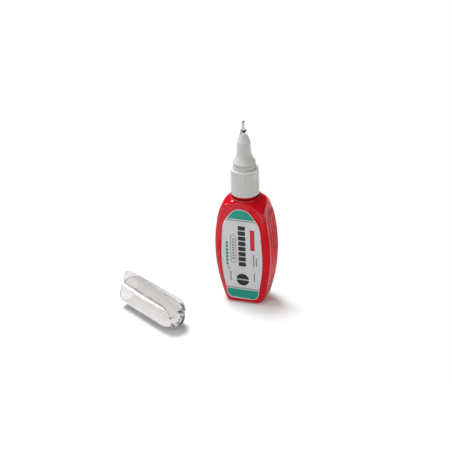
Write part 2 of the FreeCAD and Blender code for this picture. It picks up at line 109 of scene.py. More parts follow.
def tidyMesh(mesh, sharp):
    work = bmesh.new()
    work.from_mesh(mesh)
    bmesh.ops.remove_doubles(work, verts=work.verts, dist=1e-7)
    bmesh.ops.dissolve_degenerate(work, edges=work.edges, dist=1e-8)
    bmesh.ops.recalc_face_normals(work, faces=work.faces)
    work.to_mesh(mesh)
    work.free()
    mesh.polygons.foreach_set("use_smooth", np.ones(len(mesh.polygons), bool))
    mesh.set_sharp_from_angle(angle=math.radians(sharp))
    mesh.update()


def roundedProfile(corners, steps=5):
    """A profile of (radius, height, rounding) corners; each corner is replaced by an arc tangent
    to both of its sides."""
    points = []
    for index, (radius, height, rounding) in enumerate(corners):
        here = np.array([radius, height], float)
        if rounding == 0 or index in (0, len(corners) - 1):
            points.append(here)
            continue
        before = np.array(corners[index - 1][:2], float) - here
        after = np.array(corners[index + 1][:2], float) - here
        before /= np.linalg.norm(before)
        after /= np.linalg.norm(after)
        angle = math.acos(float(np.clip(before @ after, -1, 1)))
        reach = rounding / math.tan(angle / 2)
        centre = here + (before + after) / np.linalg.norm(before + after) * rounding / math.sin(angle / 2)
        start = here + before * reach - centre
        end = here + after * reach - centre
        startTurn = math.atan2(start[1], start[0])
        sweep = (math.atan2(end[1], end[0]) - startTurn + math.pi) % (2 * math.pi) - math.pi
        turns = startTurn + sweep * np.linspace(0, 1, steps)
        points += [centre + rounding * np.array([math.cos(turn), math.sin(turn)]) for turn in turns]
    return np.array(points)


def arcProfile(start, middle, end, count):
    """Points of the circle through three profile points, from start to end."""
    (ax, ay), (bx, by), (cx, cy) = start, middle, end
    matrix = 2 * np.array([[bx - ax, by - ay], [cx - ax, cy - ay]])
    centre = np.linalg.solve(matrix, [bx * bx + by * by - ax * ax - ay * ay,
                                      cx * cx + cy * cy - ax * ax - ay * ay])
    turns = [math.atan2(y - centre[1], x - centre[0]) for x, y in (start, middle, end)]
    sweep = (turns[2] - turns[0] + math.pi) % (2 * math.pi) - math.pi
    along = turns[0] + sweep * np.linspace(0, 1, count)
    radius = math.hypot(ax - centre[0], ay - centre[1])
    return centre + radius * np.stack([np.cos(along), np.sin(along)], -1)


def uprightArc(upright, other, count):
    """Points from upright, where the arc starts straight up or down, to the other end."""
    across, along = other[0] - upright[0], other[1] - upright[1]
    radius = (across ** 2 + along ** 2) / (2 * abs(across))
    half = math.asin(abs(along) / radius) / 2
    middle = (upright[0] + math.copysign(radius * (1 - math.cos(half)), across),
              upright[1] + math.copysign(radius * math.sin(half), along))
    return arcProfile(upright, middle, other, count)


def turnedPoints(profile, count):
    """Profile carried once round the Z axis: rows follow the profile, columns the turn."""
    turn = np.linspace(0, 2 * math.pi, count, endpoint=False)
    radius, height = profile[:, :1], profile[:, 1:]
    return np.stack([radius * np.cos(turn), radius * np.sin(turn), height + 0 * turn], -1)


def makeTurned(name, profile, count, body, material, sharp=35):
    profile = np.asarray(profile, float)
    faces = gridFaces(len(profile), count, True)
    return makePiece(name, turnedPoints(profile, count), faces, body, material, sharp)


# The camera's numbers come from fitting it to the bottle's axis and outline in the photograph.

view = {
    "azimuth": 19.5,
    "elevation": 27.8,
    "roll": -2.0137,
    "distance": 900.0,
    "target": (-10.28, -3.64, 43.37),
    "focalPixels": 1668.1,
    "framePixels": 452,
    "sensor": 36.0,
}


def makeCamera():
    azimuth, elevation, roll = (math.radians(view[name]) for name in ("azimuth", "elevation", "roll"))
    back = np.array([math.sin(azimuth) * math.cos(elevation),
                     -math.cos(azimuth) * math.cos(elevation),
                     math.sin(elevation)])
    right = np.array([math.cos(azimuth), math.sin(azimuth), 0])
    up = np.cross(back, right)
    across = math.cos(roll) * right + math.sin(roll) * up
    above = -math.sin(roll) * right + math.cos(roll) * up
    place = np.array(view["target"]) + view["distance"] * back
    matrix = np.eye(4)
    matrix[:3, 0], matrix[:3, 1], matrix[:3, 2] = across, above, back
    matrix[:3, 3] = place * millimetre
    camera = bpy.data.objects.new("camera", bpy.data.cameras.new("camera"))
    camera.data.sensor_width = view["sensor"]
    camera.data.lens = view["focalPixels"] / view["framePixels"] * view["sensor"]
    camera.data.clip_start = 0.05
    camera.data.clip_end = 20
    camera.matrix_world = Matrix(matrix.tolist())
    bpy.context.scene.collection.objects.link(camera)
    bpy.context.scene.camera = camera


makeCamera()
print("camera made")


# Every material reads Object coordinates, so the scale of its pattern comes from real sizes.

def objectPlace(tree):
    return addNode(tree, "ShaderNodeTexCoord").outputs["Object"]


def stretchedPlace(tree, scale):
    mapping = addNode(tree, "ShaderNodeMapping", inputs={"Scale": scale}, links={"Vector": objectPlace(tree)})
    return mapping.outputs["Vector"]


def addNoise(tree, place, scale, detail=2.0, roughness=0.5):
    noise = addNode(tree, "ShaderNodeTexNoise", links={"Vector": place},
                    inputs={"Scale": scale, "Detail": detail, "Roughness": roughness})
    return noise.outputs["Fac"]


def addTone(tree, value, low, dark, high, light):
    """A colour ramp over a value, from one hex colour at low to another at high."""
    ramp = addNode(tree, "ShaderNodeValToRGB", links={"Fac": value})
    for element, position, hexText in zip(ramp.color_ramp.elements, (low, high), (dark, light)):
        element.position = position
        element.color = linearColour(hexText)
    return ramp.outputs["Color"]


def addRange(tree, value, low, high, start=0.0, end=1.0):
    """Runs from low to high while the value goes from start to end, and is held beyond them."""
    node = addNode(tree, "ShaderNodeMapRange",
                   inputs={"From Min": start, "From Max": end, "To Min": low, "To Max": high},
                   links={"Value": value})
    return node.outputs["Result"]


def addBump(tree, height, strength, distance, below=None):
    links = {"Height": height} if below is None else {"Height": height, "Normal": below}
    bump = addNode(tree, "ShaderNodeBump", inputs={"Strength": strength, "Distance": distance}, links=links)
    return bump.outputs["Normal"]


def finishShader(tree, inputs, links):
    shader = addNode(tree, "ShaderNodeBsdfPrincipled", inputs=inputs, links=links)
    addNode(tree, "ShaderNodeOutputMaterial", links={"Surface": shader.outputs[0]})


def makeBlownRed():
    # Polypropylene, blow-moulded and dyed through: a smooth gloss with a faint waviness left by
    # the mould, and fine handling scratches that only show in the highlights.
    material, tree = newMaterial("blownRedPolypropylene")
    place = objectPlace(tree)
    waviness = addNoise(tree, place, 140.0, 2.0, 0.4)
    grain = addNoise(tree, place, 2600.0, 3.0, 0.6)
    wavy = addBump(tree, waviness, 0.03, 0.0004)
    finishShader(tree,
                 {"IOR": 1.49, "Subsurface Weight": 0.12, "Subsurface Scale": 0.003,
                  "Subsurface Radius": (1.0, 0.15, 0.1)},
                 {"Base Color": addTone(tree, waviness, 0.3, "#ca0a1c", 0.7, "#d40e20"),
                  "Roughness": addRange(tree, grain, 0.09, 0.14, 0.3, 0.7),
                  "Normal": addBump(tree, grain, 0.015, 0.0001, wavy)})
    return material


def makeMouldedWhite(name, dark, light, roughness):
    # Polypropylene, injection moulded in off-white: a fine matt grain from the mould.
    material, tree = newMaterial(name)
    place = objectPlace(tree)
    finishShader(tree,
                 {"IOR": 1.49, "Roughness": roughness, "Subsurface Weight": 0.08,
                  "Subsurface Scale": 0.002, "Subsurface Radius": (1.0, 0.9, 0.8)},
                 {"Base Color": addTone(tree, addNoise(tree, place, 220.0), 0.35, dark, 0.65, light),
                  "Normal": addBump(tree, addNoise(tree, place, 4000.0), 0.08, 0.0001)})
    return material


evenly = (1.0, 1.0, 1.0)


def makeMottled(name, stretch, scale, detail, tones, inputs):
    """A material of which only the colour varies, by a noise that is stretched by the given scales."""
    material, tree = newMaterial(name)
    noise = addNoise(tree, stretchedPlace(tree, stretch), scale, detail)
    finishShader(tree, inputs, {"Base Color": addTone(tree, noise, *tones)})
    return material


def makeInk(name, dark, light):
    # Printing ink on the film: flat colour with the slight mottle of a screen print.
    return makeMottled(name, evenly, 1500.0, 2.0, (0.35, dark, 0.65, light),
                       {"IOR": 1.5, "Roughness": 0.4, "Coat Weight": 0.15, "Coat Roughness": 0.2})


def makeTurnedMetal(name, dark, light, roughness, rings):
    # Nickel-plated brass or steel, turned on a lathe: fine rings across the height.
    material, tree = newMaterial(name)
    lines = addNoise(tree, stretchedPlace(tree, (0.02, 0.02, 1.0)), rings)
    finishShader(tree, {"Metallic": 1.0},
                 {"Base Color": addTone(tree, lines, 0.35, dark, 0.65, light),
                  "Roughness": addRange(tree, lines, roughness * 0.8, roughness * 1.25),
                  "Normal": addBump(tree, lines, 0.04, 0.00005)})
    return material


def makeClearCap():
    # Polypropylene, injection moulded without dye: clear with a slight milkiness, and a surface
    # that is smooth but not polished, so what is behind it is softened.
    material, tree = newMaterial("clearPolypropylene")
    cloud = addNoise(tree, objectPlace(tree), 260.0, 3.0)
    finishShader(tree,
                 {"Base Color": linearColour("#fcf9f8"), "IOR": 1.45, "Transmission Weight": 0.94},
                 {"Roughness": addRange(tree, cloud, 0.05, 0.12),
                  "Normal": addBump(tree, cloud, 0.05, 0.0003)})
    return material


blownRed = makeBlownRed()
# Painted highlight along the edge of the neck's rim: the same polypropylene, paler and duller.
rimHighlightRed = makeMottled("rimPaintedHighlight", evenly, 900.0, 3.0, (0.35, "#d24a4a", 0.65, "#e08a86"),
                         {"IOR": 1.49, "Roughness": 0.45})
collarWhite = makeMouldedWhite("mouldedCollarPolypropylene", "#d4d5d0", "#dadbd6", 0.55)
nozzleWhite = makeMouldedWhite("mouldedNozzlePolypropylene", "#c4c4c0", "#cacac6", 0.42)
# Polyester label film with a silver-grey ink: satin, with a very fine brushed grain up the label.
labelFilm = makeMottled("labelFilmSilver", (1.0, 1.0, 0.06), 3500.0, 2.0, (0.3, "#c9cacc", 0.7, "#d8d9db"),
                        {"IOR": 1.5, "Roughness": 0.42, "Coat Weight": 0.15, "Coat Roughness": 0.2})
inkBlack = makeInk("inkBlack", "#272526", "#2e2c2d")
inkTeal = makeInk("inkTeal", "#07917e", "#0a9c88")
inkRed = makeInk("inkRed", "#c60e2c", "#d01232")
inkGrey = makeInk("inkGrey", "#818284", "#8c8d8f")
chromeTurned = makeTurnedMetal("nickelPlatedBrass", "#c9c9c6", "#d9d9d6", 0.12, 9000.0)
tubeSteel = makeTurnedMetal("drawnSteelTube", "#cfcfcd", "#dededc", 0.24, 5000.0)
pinSteel = makeTurnedMetal("groundSteelPin", "#8f8f8e", "#a9a9a8", 0.25, 7000.0)
valveBrass = makeTurnedMetal("turnedBrass", "#b08d48", "#c9a55a", 0.3, 7000.0)
# Nitrile seal, moulded: dark and matt.
nitrile = makeMottled("nitrileSeal", evenly, 1800.0, 2.0, (0.3, "#1c1c1d", 0.7, "#29292b"),
                      {"Roughness": 0.7})
clearCap = makeClearCap()
# Painted shade: dark cups set into the punched vent holes, so that the holes look dark.
ventShade = makeMottled("ventPaintedShade", evenly, 2500.0, 2.0, (0.3, "#1b181d", 0.7, "#29252b"),
                        {"Roughness": 0.5})
print("materials made")


# The bottle: a blown body whose corners grow into the round neck, with a grip panel on each side.

bottle = {
    "width": 32.0, "depth": 17.74, "widestHeight": 32.3,
    "sideRadius": 90.0, "footRadius": 102.0, "shoulderRadius": 16.0, "shoulderStart": 54.5,
    "shoulderTop": 61.9, "shoulderFall": 0.7, "shoulderSoftness": 0.5,
    "corner": 3.7, "footSwell": 2.0, "footSwellHeight": 22.0, "leastFlat": 0.05,
    "roundFullness": 0.5523, "cornerFullness": 0.66,
    "archStart": 56.0, "archPower": 2.5, "archLimit": 0.97,
    "tongueStart": 50.0, "tongueEnd": 58.0, "tongueShare": 0.93,
    "baseEdge": 2.0, "baseRings": (0.0, 0.25, 0.55, 0.85, 0.97), "fineFrom": 50.0,
    "panelDepth": 0.4, "panelTop": 51.5, "panelBottom": 14.0, "panelRunOut": 0.05, "panelSoftness": 0.08,
    "panelLedge": 0.3, "panelInFromFront": 0.4, "panelOutFromMiddle": 6.0,
    "ringRadius": 8.05, "rimRadius": 7.83, "rimTop": 61.5, "rimEdge": 0.16, "rimWidth": 0.4, "rimDepth": 0.9,
    "rimStart": 0.6, "ledge": 0.95, "ledgeWidth": 0.5, "ledgeFrom": 0.45, "ledgeTo": 0.85,
    # the band of painted highlight over the rim's outer edge
    "rimHighlightInside": 0.3, "rimHighlightOutside": 0.07, "rimHighlightAbove": 0.05, "rimHighlightBelow": 0.22, "rimHighlightSlant": 0.1,
    "neckRadius": 6.2, "neckBore": 5.0, "neckTop": 75.2, "neckFloor": 60.0,
    "grooveCount": 4, "groovePitch": 3.15, "grooveRound": 1.6, "grooveDepth": 0.72,
    "grooveMiddle": 30.3, "grooveReach": 20.6, "grooveStep": 0.6, "grooveLean": 0.9,
    "grooveSoftness": 0.07,
    "sideSteps": 44, "cornerSteps": 34, "frontSteps": 18, "footSteps": 9, "bodySteps": 97, "topSteps": 120,
}


def bottleHalfWidth(height):
    """Half of the front outline's width: one long arc below the widest height, another above it,
    and a short arc tangent to that one for the shoulder."""
    b = bottle
    half = b["width"] / 2
    above = height - b["widestHeight"]
    lower = half - b["footRadius"] + np.sqrt(b["footRadius"] ** 2 - above ** 2)
    upper = half - b["sideRadius"] + np.sqrt(b["sideRadius"] ** 2 - above ** 2)
    turn = math.asin((b["shoulderStart"] - b["widestHeight"]) / b["sideRadius"])
    inner = b["sideRadius"] - b["shoulderRadius"]
    rise = np.clip(above - inner * math.sin(turn), 0, b["shoulderRadius"] * 0.999)
    shoulder = half - b["sideRadius"] + inner * math.cos(turn) + np.sqrt(b["shoulderRadius"] ** 2 - rise ** 2)
    return np.where(height < b["widestHeight"], lower, np.where(height < b["shoulderStart"], upper, shoulder))


def bezier(first, second, third, last, share):
    """The cubic Bezier curve through first and last that second and third pull on."""
    rest = 1 - share
    return (first * rest ** 3 + 3 * second * rest ** 2 * share
            + 3 * third * rest * share ** 2 + last * share ** 3)


def bottleQuadrant(height, inset):
    """One quarter of the section at each height, from the middle of the narrow side round the
    corner to the middle of the front: a straight, a Bezier corner and a straight."""
    b = bottle
    height, inset = height[:, None], inset[:, None]
    wide = bottleHalfWidth(height)
    deep = b["depth"] / 2
    above = np.clip((height - b["archStart"]) / (b["shoulderTop"] - b["archStart"]), 0, b["archLimit"])
    tongue = eased(height, b["tongueStart"], b["tongueEnd"])
    frontFlat = (wide - b["corner"]) * (1 - above ** b["archPower"])
    sideFlat = (deep - b["corner"]) * (1 - b["tongueShare"] * tongue)
    sideFlat = sideFlat - b["footSwell"] * (1 - eased(height, 0, b["footSwellHeight"]))
    fullness = b["roundFullness"] + (b["cornerFullness"] - b["roundFullness"]) * tongue
    wide, deep = wide - inset, deep - inset
    frontFlat = np.minimum(frontFlat, wide - b["leastFlat"])
    sideFlat = np.minimum(sideFlat, deep - b["leastFlat"])
    side = np.linspace(0, 1, b["sideSteps"], endpoint=False)[None]
    turn = np.linspace(0, 1, b["cornerSteps"], endpoint=False)[None]
    front = np.linspace(0, 1, b["frontSteps"] + 1)[None]
    cornerX = bezier(wide, wide, frontFlat + (wide - frontFlat) * fullness, frontFlat, turn)
    cornerY = bezier(sideFlat, sideFlat + (deep - sideFlat) * fullness, deep, deep, turn)
    x = np.concatenate([wide + 0 * side, cornerX, frontFlat * (1 - front)], 1)
    y = np.concatenate([sideFlat * side, cornerY, deep + 0 * front], 1)
    return x, y


def panelWidth(height):
    """Half width between the two grip panels: an arc through three heights, which leaves the side
    near the base, with a short ledge up to the full width at its top."""
    b = bottle
    knots = np.array([b["panelBottom"], (b["panelBottom"] + b["panelTop"]) / 2, b["panelTop"]])
    inset = np.array([-b["panelRunOut"], (b["panelDepth"] - b["panelRunOut"]) / 2, b["panelDepth"]])
    arc = np.polyfit(knots, inset, 2)
    share = np.clip((height - b["panelTop"]) / b["panelLedge"] + 0.5, 0, 1)
    return bottleHalfWidth(height) - np.polyval(arc, height) + (b["panelDepth"] + 1) * share


def pressGrooves(x, y, height):
    """Moves the side inwards to the grip panel, and where a groove's round bed lies deeper still.
    A bed is part of a torus whose arc is flatter than the side's, so it runs out at both ends. The
    limits just under 1 keep the roots real."""
    b = bottle
    roundness = b["grooveRound"]
    deepest = b["width"] / 2 - b["grooveDepth"]
    depthAt = softMin(np.abs(x), panelWidth(height), b["panelSoftness"])
    setIn = b["panelDepth"] / (b["panelTop"] - b["panelBottom"]) * (height - b["panelBottom"])
    up = height - b["grooveMiddle"]
    for index in range(b["grooveCount"]):
        place = index - (b["grooveCount"] - 1) / 2
        reach = b["grooveReach"] - b["grooveStep"] * (abs(place) - 0.5)
        drop = b["sideRadius"] - math.sqrt(b["sideRadius"] ** 2 - reach ** 2) - b["grooveDepth"]
        bed = (reach ** 2 + drop ** 2) / (2 * drop)
        middleY = place * b["groovePitch"] + up * math.sin(math.radians(b["grooveLean"] * place))
        across = np.clip(np.abs(y - middleY) / roundness, 0, 0.995)
        centre = deepest - bed + np.sqrt(np.maximum((bed + roundness) ** 2 - up ** 2, 1))
        bedX = centre - roundness * np.sqrt(1 - across ** 2) - setIn
        # Outside its own strip the bed is moved well out of the way.
        outside = (np.abs(y - middleY) >= roundness * 0.99) | (np.abs(up) > reach + 2)
        outside = outside | (height > b["panelTop"])
        bedX = np.where(outside, depthAt + 5, bedX)
        depthAt = softMin(depthAt, bedX, b["grooveSoftness"])
    return np.sign(x) * depthAt


def makeNeckRim():
    """A thin band over the rim's outer edge, in a paler red that paints a highlight there."""
    b = bottle
    inside, outside = b["rimRadius"] - b["rimHighlightInside"], b["rimRadius"] + b["rimHighlightOutside"]
    above, below = b["rimTop"] + b["rimHighlightAbove"], b["rimTop"] - b["rimHighlightBelow"]
    start = (inside, b["rimTop"] - b["rimHighlightSlant"], 0)
    highlightBand = roundedProfile([start, (inside, above, 0.1), (outside, above, 0.12), (outside, below, 0.05),
                              (b["rimRadius"] - b["rimHighlightSlant"], below, 0), start])
    makeTurned("neckRimHighlight", highlightBand, 160, "pen", rimHighlightRed)


def makeBottle():
    """Rows of points from the base up: the base's rings, the body, and the turned rim and neck."""
    b = bottle
    edge = b["baseEdge"]
    turns = np.linspace(0, math.pi / 2, b["footSteps"])
    foot = edge - edge * np.cos(turns)
    footInset = edge - edge * np.sin(turns)
    heights = np.concatenate([foot, np.linspace(edge, b["fineFrom"], b["bodySteps"])[1:],
                              np.linspace(b["fineFrom"], b["shoulderTop"], b["topSteps"])[1:]])
    inset = np.concatenate([footInset, np.zeros(len(heights) - len(foot))])
    x, y = bottleQuadrant(heights, inset)
    x = np.concatenate([x, -x[:, -2::-1]], 1)
    y = np.concatenate([y, y[:, -2::-1]], 1)
    x = np.concatenate([x, x[:, -2:0:-1]], 1)
    y = np.concatenate([y, -y[:, -2:0:-1]], 1)
    z = heights[:, None] + 0 * x
    # Near the top the section is held within a cone that ends at the neck's ring.
    reach = np.hypot(x, y)
    cone = b["ringRadius"] + (b["shoulderTop"] - z) / b["shoulderFall"]
    kept = softMin(reach, cone, b["shoulderSoftness"]) / reach
    x, y = x * kept, y * kept
    sideOnly = (np.abs(y) < b["depth"] / 2 - b["panelInFromFront"]) & (np.abs(x) > b["panelOutFromMiddle"])
    x = np.where(sideOnly, pressGrooves(x, y, z), x)
    # In front and behind the shoulder ends in a flat ledge below the rim of the neck.
    turn = np.arctan2(y[-1], x[-1])
    ledge = b["shoulderTop"] - b["ledge"] * eased(np.abs(np.sin(turn)), b["ledgeFrom"], b["ledgeTo"])
    z = np.where(z > b["shoulderTop"] - b["ledgeWidth"], np.minimum(z, ledge), z)
    shares = np.array(b["baseRings"])[:, None]
    baseX, baseY = x[:1] * shares, y[:1] * shares
    rimInside, rimFoot = b["rimRadius"] - b["rimWidth"], b["rimTop"] - b["rimDepth"]
    top = roundedProfile([
        (b["rimRadius"], b["rimTop"] - b["rimStart"], 0), (b["rimRadius"], b["rimTop"], b["rimEdge"]),
        (rimInside, b["rimTop"], 0.1), (rimInside, rimFoot, 0.1), (b["neckRadius"], rimFoot, 0),
        (b["neckRadius"], b["neckTop"], 0.35), (b["neckBore"], b["neckTop"], 0.2),
        (b["neckBore"], b["neckFloor"], 0), (0, b["neckFloor"], 0)])
    topX, topY = top[:, :1] * np.cos(turn), top[:, :1] * np.sin(turn)
    points = np.stack([np.concatenate([baseX, x, topX]), np.concatenate([baseY, y, topY]),
                       np.concatenate([0 * baseX, z, top[:, 1:] + 0 * topX])], -1)
    piece = makePiece("bottleBody", points, gridFaces(len(points), x.shape[1], True),
                      "pen", blownRed, sharp=50)
    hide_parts("bottle")


makeNeckRim()
makeBottle()
print("bottle made")


# The labels, a film of the same outline in front and behind.

label = {
    "thickness": 0.1, "bottom": 2.65, "top": 57.2, "width": 23.0, "widest": 29.5,
    "shoulder": 6.3, "shoulderHeight": 54.6, "shoulderShare": 0.6, "shoulderDip": 0.9, "inkThickness": 0.02,
    # shares of the half width, and heights above the bottom or above the widest place
    "footKnots": ((0.52, 0.0), (0.70, 1.2), (0.79, 4.4), (0.945, 15.0)),
    "sideKnots": ((1.0, 0.0), (0.95, 11.0), (0.83, 19.4)),
}


def labelOutline(count):
    """The label's outline: a smooth curve through its half widths, mirrored, with a straight foot."""
    half = label["width"] / 2
    knots = [(half * share, label["bottom"] + rise) for share, rise in label["footKnots"]]
    knots += [(half * share, label["widest"] + rise) for share, rise in label["sideKnots"]]
    knots += [(label["shoulder"], label["shoulderHeight"] - label["shoulderDip"]),
              (label["shoulder"] * label["shoulderShare"], label["top"] - label["shoulderDip"]),
              (0, label["top"])]
    knots = np.array(knots)
    knots = np.concatenate([knots, knots[-2::-1] * [-1, 1]])
    return smoothCurve(knots, count)


def smoothCurve(knots, count):
    """Natural cubic spline through the knots, by chord length."""
    steps = np.hypot(*np.diff(knots, axis=0).T)
    along = np.concatenate([[0], np.cumsum(steps)])
    size = len(knots)
    matrix = np.eye(size)
    right = np.zeros((size, 2))
    for index in range(1, size - 1):
        before, after = steps[index - 1], steps[index]
        matrix[index, index - 1:index + 2] = before, 2 * (before + after), after
        slopes = (knots[index + 1] - knots[index]) / after - (knots[index] - knots[index - 1]) / before
        right[index] = 6 * slopes
    bend = np.linalg.solve(matrix, right)
    at = np.linspace(0, along[-1], count)
    index = np.clip(np.searchsorted(along, at, side="right") - 1, 0, size - 2)
    width = steps[index][:, None]
    low = (at - along[index])[:, None]
    high = width - low
    return ((bend[index] * high ** 3 + bend[index + 1] * low ** 3) / (6 * width)
            + (knots[index] / width - bend[index] * width / 6) * high
            + (knots[index + 1] / width - bend[index + 1] * width / 6) * low)


def flatPiece(name, outlines, side, thickness, start, material, bands=()):
    """Flat shapes with a little thickness on the front (-1) or back (1) of the bottle. A band is the
    strip between an outer and an inner outline of equal count."""
    points, faces = [], []

    def addLevels(shapes):
        """Adds the shapes' points at the lower and the upper level, and returns the first's number."""
        first = len(points)
        for level in (start, start + thickness):
            depth = side * (bottle["depth"] / 2 + level)
            points.extend((x * -side, depth, z) for shape in shapes for x, z in shape)
        return first

    for band in bands:
        first, count = addLevels(band), len(band[0])
        rings = [first + count * ring + np.arange(count) for ring in (0, 2, 3, 1, 0)]
        for here, there in zip(rings[:-1], rings[1:]):
            faces += np.stack([here, np.roll(here, -1), np.roll(there, -1), there], -1).tolist()
    for outline in outlines:
        first, count = addLevels([outline]), len(outline)
        near = list(range(first, first + count))
        far = list(range(first + count, first + 2 * count))
        faces += [near[::-1], far]
        faces += [[near[i], near[(i + 1) % count], far[(i + 1) % count], far[i]] for i in range(count)]
    return makePiece(name, np.array(points), faces, "pen", material, sharp=30)


def roundedBar(x, z, width, height, corner):
    """A rounded rectangle about (x, z)."""
    corner = min(corner, width / 2, height / 2)
    angles = np.linspace(0, math.pi / 2, 7)
    middles = [(width / 2 - corner, height / 2 - corner), (corner - width / 2, height / 2 - corner),
               (corner - width / 2, corner - height / 2), (width / 2 - corner, corner - height / 2)]
    points = np.concatenate([np.array(middle) + corner * np.stack(
        [np.cos(angles + quarter * math.pi / 2), np.sin(angles + quarter * math.pi / 2)], -1)
        for quarter, middle in enumerate(middles)])
    return points + (x, z)


def makeLabels():
    outline = labelOutline(180)
    for side, node in ((-1, "front_label"), (1, "back_label")):
        piece = flatPiece(node + "Film", [outline], side, label["thickness"], 0, labelFilm)
        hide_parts(node)


makeLabels()
print("labels made")


# The printed layout is generic: fields, blocks and bars, in the colours and at the scale of a
# printed label. A column of blocks stands for a line of words that runs down the label.
printLayout = {
    "margin": 0.35, "topField": 51.3, "bottomField": 8.4, "fieldLines": (0.5, 0.95), "hairline": 0.2,
    # x, top, bottom, width, count of blocks, share of the pitch that is filled, corner
    "title": (0.2, 47.6, 22.6, 4.1, 8, 0.82, 0.3),
    "smallLine": (-8.3, 37.4, 22.6, 1.35, 7, 0.8, 0.25),
    "greyLine": (-4.7, 39.6, 26.4, 1.25, 8, 0.66, 0.2),
    # x, middle height, width, height, and the line's width or the corner
    "capsule": (-4.7, 33.0, 3.2, 17.0, 0.26),
    "ring": (-7.6, 21.2, 1.7, 1.7, 0.2),
    "accent": (6.2, 39.4, 2.5, 12.4, 0.6),
    "disc": (0.2, 14.6), "discRadius": 3.6, "discGap": 0.55,
    # x, middle height, height
    "notes": ((6.7, 27.0, 7.4), (8.2, 26.4, 5.2), (6.9, 16.6, 5.0), (-6.5, 16.2, 5.6)),
    "notePitch": 1.25, "noteWidth": 0.62, "noteFill": 0.72, "noteCorner": 0.1,
    "backLines": 16, "backTop": 46.6, "backPitch": 2.1, "backWidth": 15.0, "backShorter": 1.6,
    "backHeight": 0.7, "backCorner": 0.3,
}


def clipHeights(outline, low=-math.inf, high=math.inf):
    """The part of a convex outline that lies between two heights."""
    for sign, limit in ((1, high), (-1, -low)):
        kept = []
        over = sign * outline[:, 1] - limit
        for index, point in enumerate(outline):
            before = outline[index - 1]
            if (over[index] <= 0) != (over[index - 1] <= 0):
                share = over[index - 1] / (over[index - 1] - over[index])
                kept.append(before + share * (point - before))
            if over[index] <= 0:
                kept.append(point)
        outline = np.array(kept)
    return outline


def blockColumn(x, top, bottom, width, count, fill, corner):
    pitch = (top - bottom) / count
    return [roundedBar(x, top - pitch * (index + 0.5), width, pitch * fill, corner) for index in range(count)]


def hollowBar(x, z, width, height, line):
    """The outer and inner outline of a line round a bar with round ends."""
    return (roundedBar(x, z, width, height, width / 2),
            roundedBar(x, z, width - 2 * line, height - 2 * line, width / 2 - line))


def makePrint():
    layout = printLayout
    outline = labelOutline(120)[:-1]
    middle = np.array([0, (label["top"] + label["bottom"]) / 2])
    shrink = 1 - layout["margin"] / np.array([label["width"] / 2, (label["top"] - label["bottom"]) / 2])
    inside = middle + (outline - middle) * shrink
    fields = [clipHeights(inside, low=layout["topField"]), clipHeights(inside, high=layout["bottomField"])]
    dark = blockColumn(*layout["title"])
    for gap in layout["fieldLines"]:
        for low in (layout["topField"] - gap - layout["hairline"], layout["bottomField"] + gap):
            dark.append(clipHeights(inside, low, low + layout["hairline"]))
    disc = roundedBar(0, 0, 2 * layout["discRadius"], 2 * layout["discRadius"], layout["discRadius"])
    gap = layout["discGap"] / 2
    dark += [half + layout["disc"] for half in (clipHeights(disc, low=gap), clipHeights(disc, high=-gap))]
    for x, z, height in layout["notes"]:
        dark += blockColumn(x, z + height / 2, z - height / 2, layout["noteWidth"],
                            round(height / layout["notePitch"]), layout["noteFill"], layout["noteCorner"])
    lines = [hollowBar(*layout["capsule"]), hollowBar(*layout["ring"])]
    backText = [roundedBar(0, layout["backTop"] - layout["backPitch"] * i,
                           layout["backWidth"] - (i % 3) * layout["backShorter"],
                           layout["backHeight"], layout["backCorner"]) for i in range(layout["backLines"])]
    for name, shapes, side, ink, bands in (
            ("printBlack", dark, -1, inkBlack, lines),
            ("printTeal", fields + blockColumn(*layout["smallLine"]), -1, inkTeal, ()),
            ("printRed", [roundedBar(*layout["accent"])], -1, inkRed, ()),
            ("printGrey", blockColumn(*layout["greyLine"]), -1, inkGrey, ()),
            ("printBackText", backText, 1, inkGrey, ()),
            ("printBackFields", fields, 1, inkTeal, ())):
        flatPiece(name, shapes, side, label["inkThickness"], label["thickness"], ink, bands)


makePrint()
print("print made")


# The collar, the nozzle and the metal tip, all turned about the bottle's axis.

collar = {
    "bottom": 63.5, "top": 78.1, "bottomRadius": 7.61, "topRadius": 7.48, "bore": 6.75,
    "hole": 6.32, "lid": 1.1, "edge": 0.35, "footEdge": 0.12,
    "wallStart": 0.3, "wallStep": 0.1, "wallEnd": 0.05,
    "ribs": 44, "ribDepth": 0.5, "ribSteps": 14, "ribCrest": 0.2, "ribPower": 0.7,
    "ribFootShare": 0.6, "ribFadeStart": 0.8, "ribFadeEnd": 0.3,
}


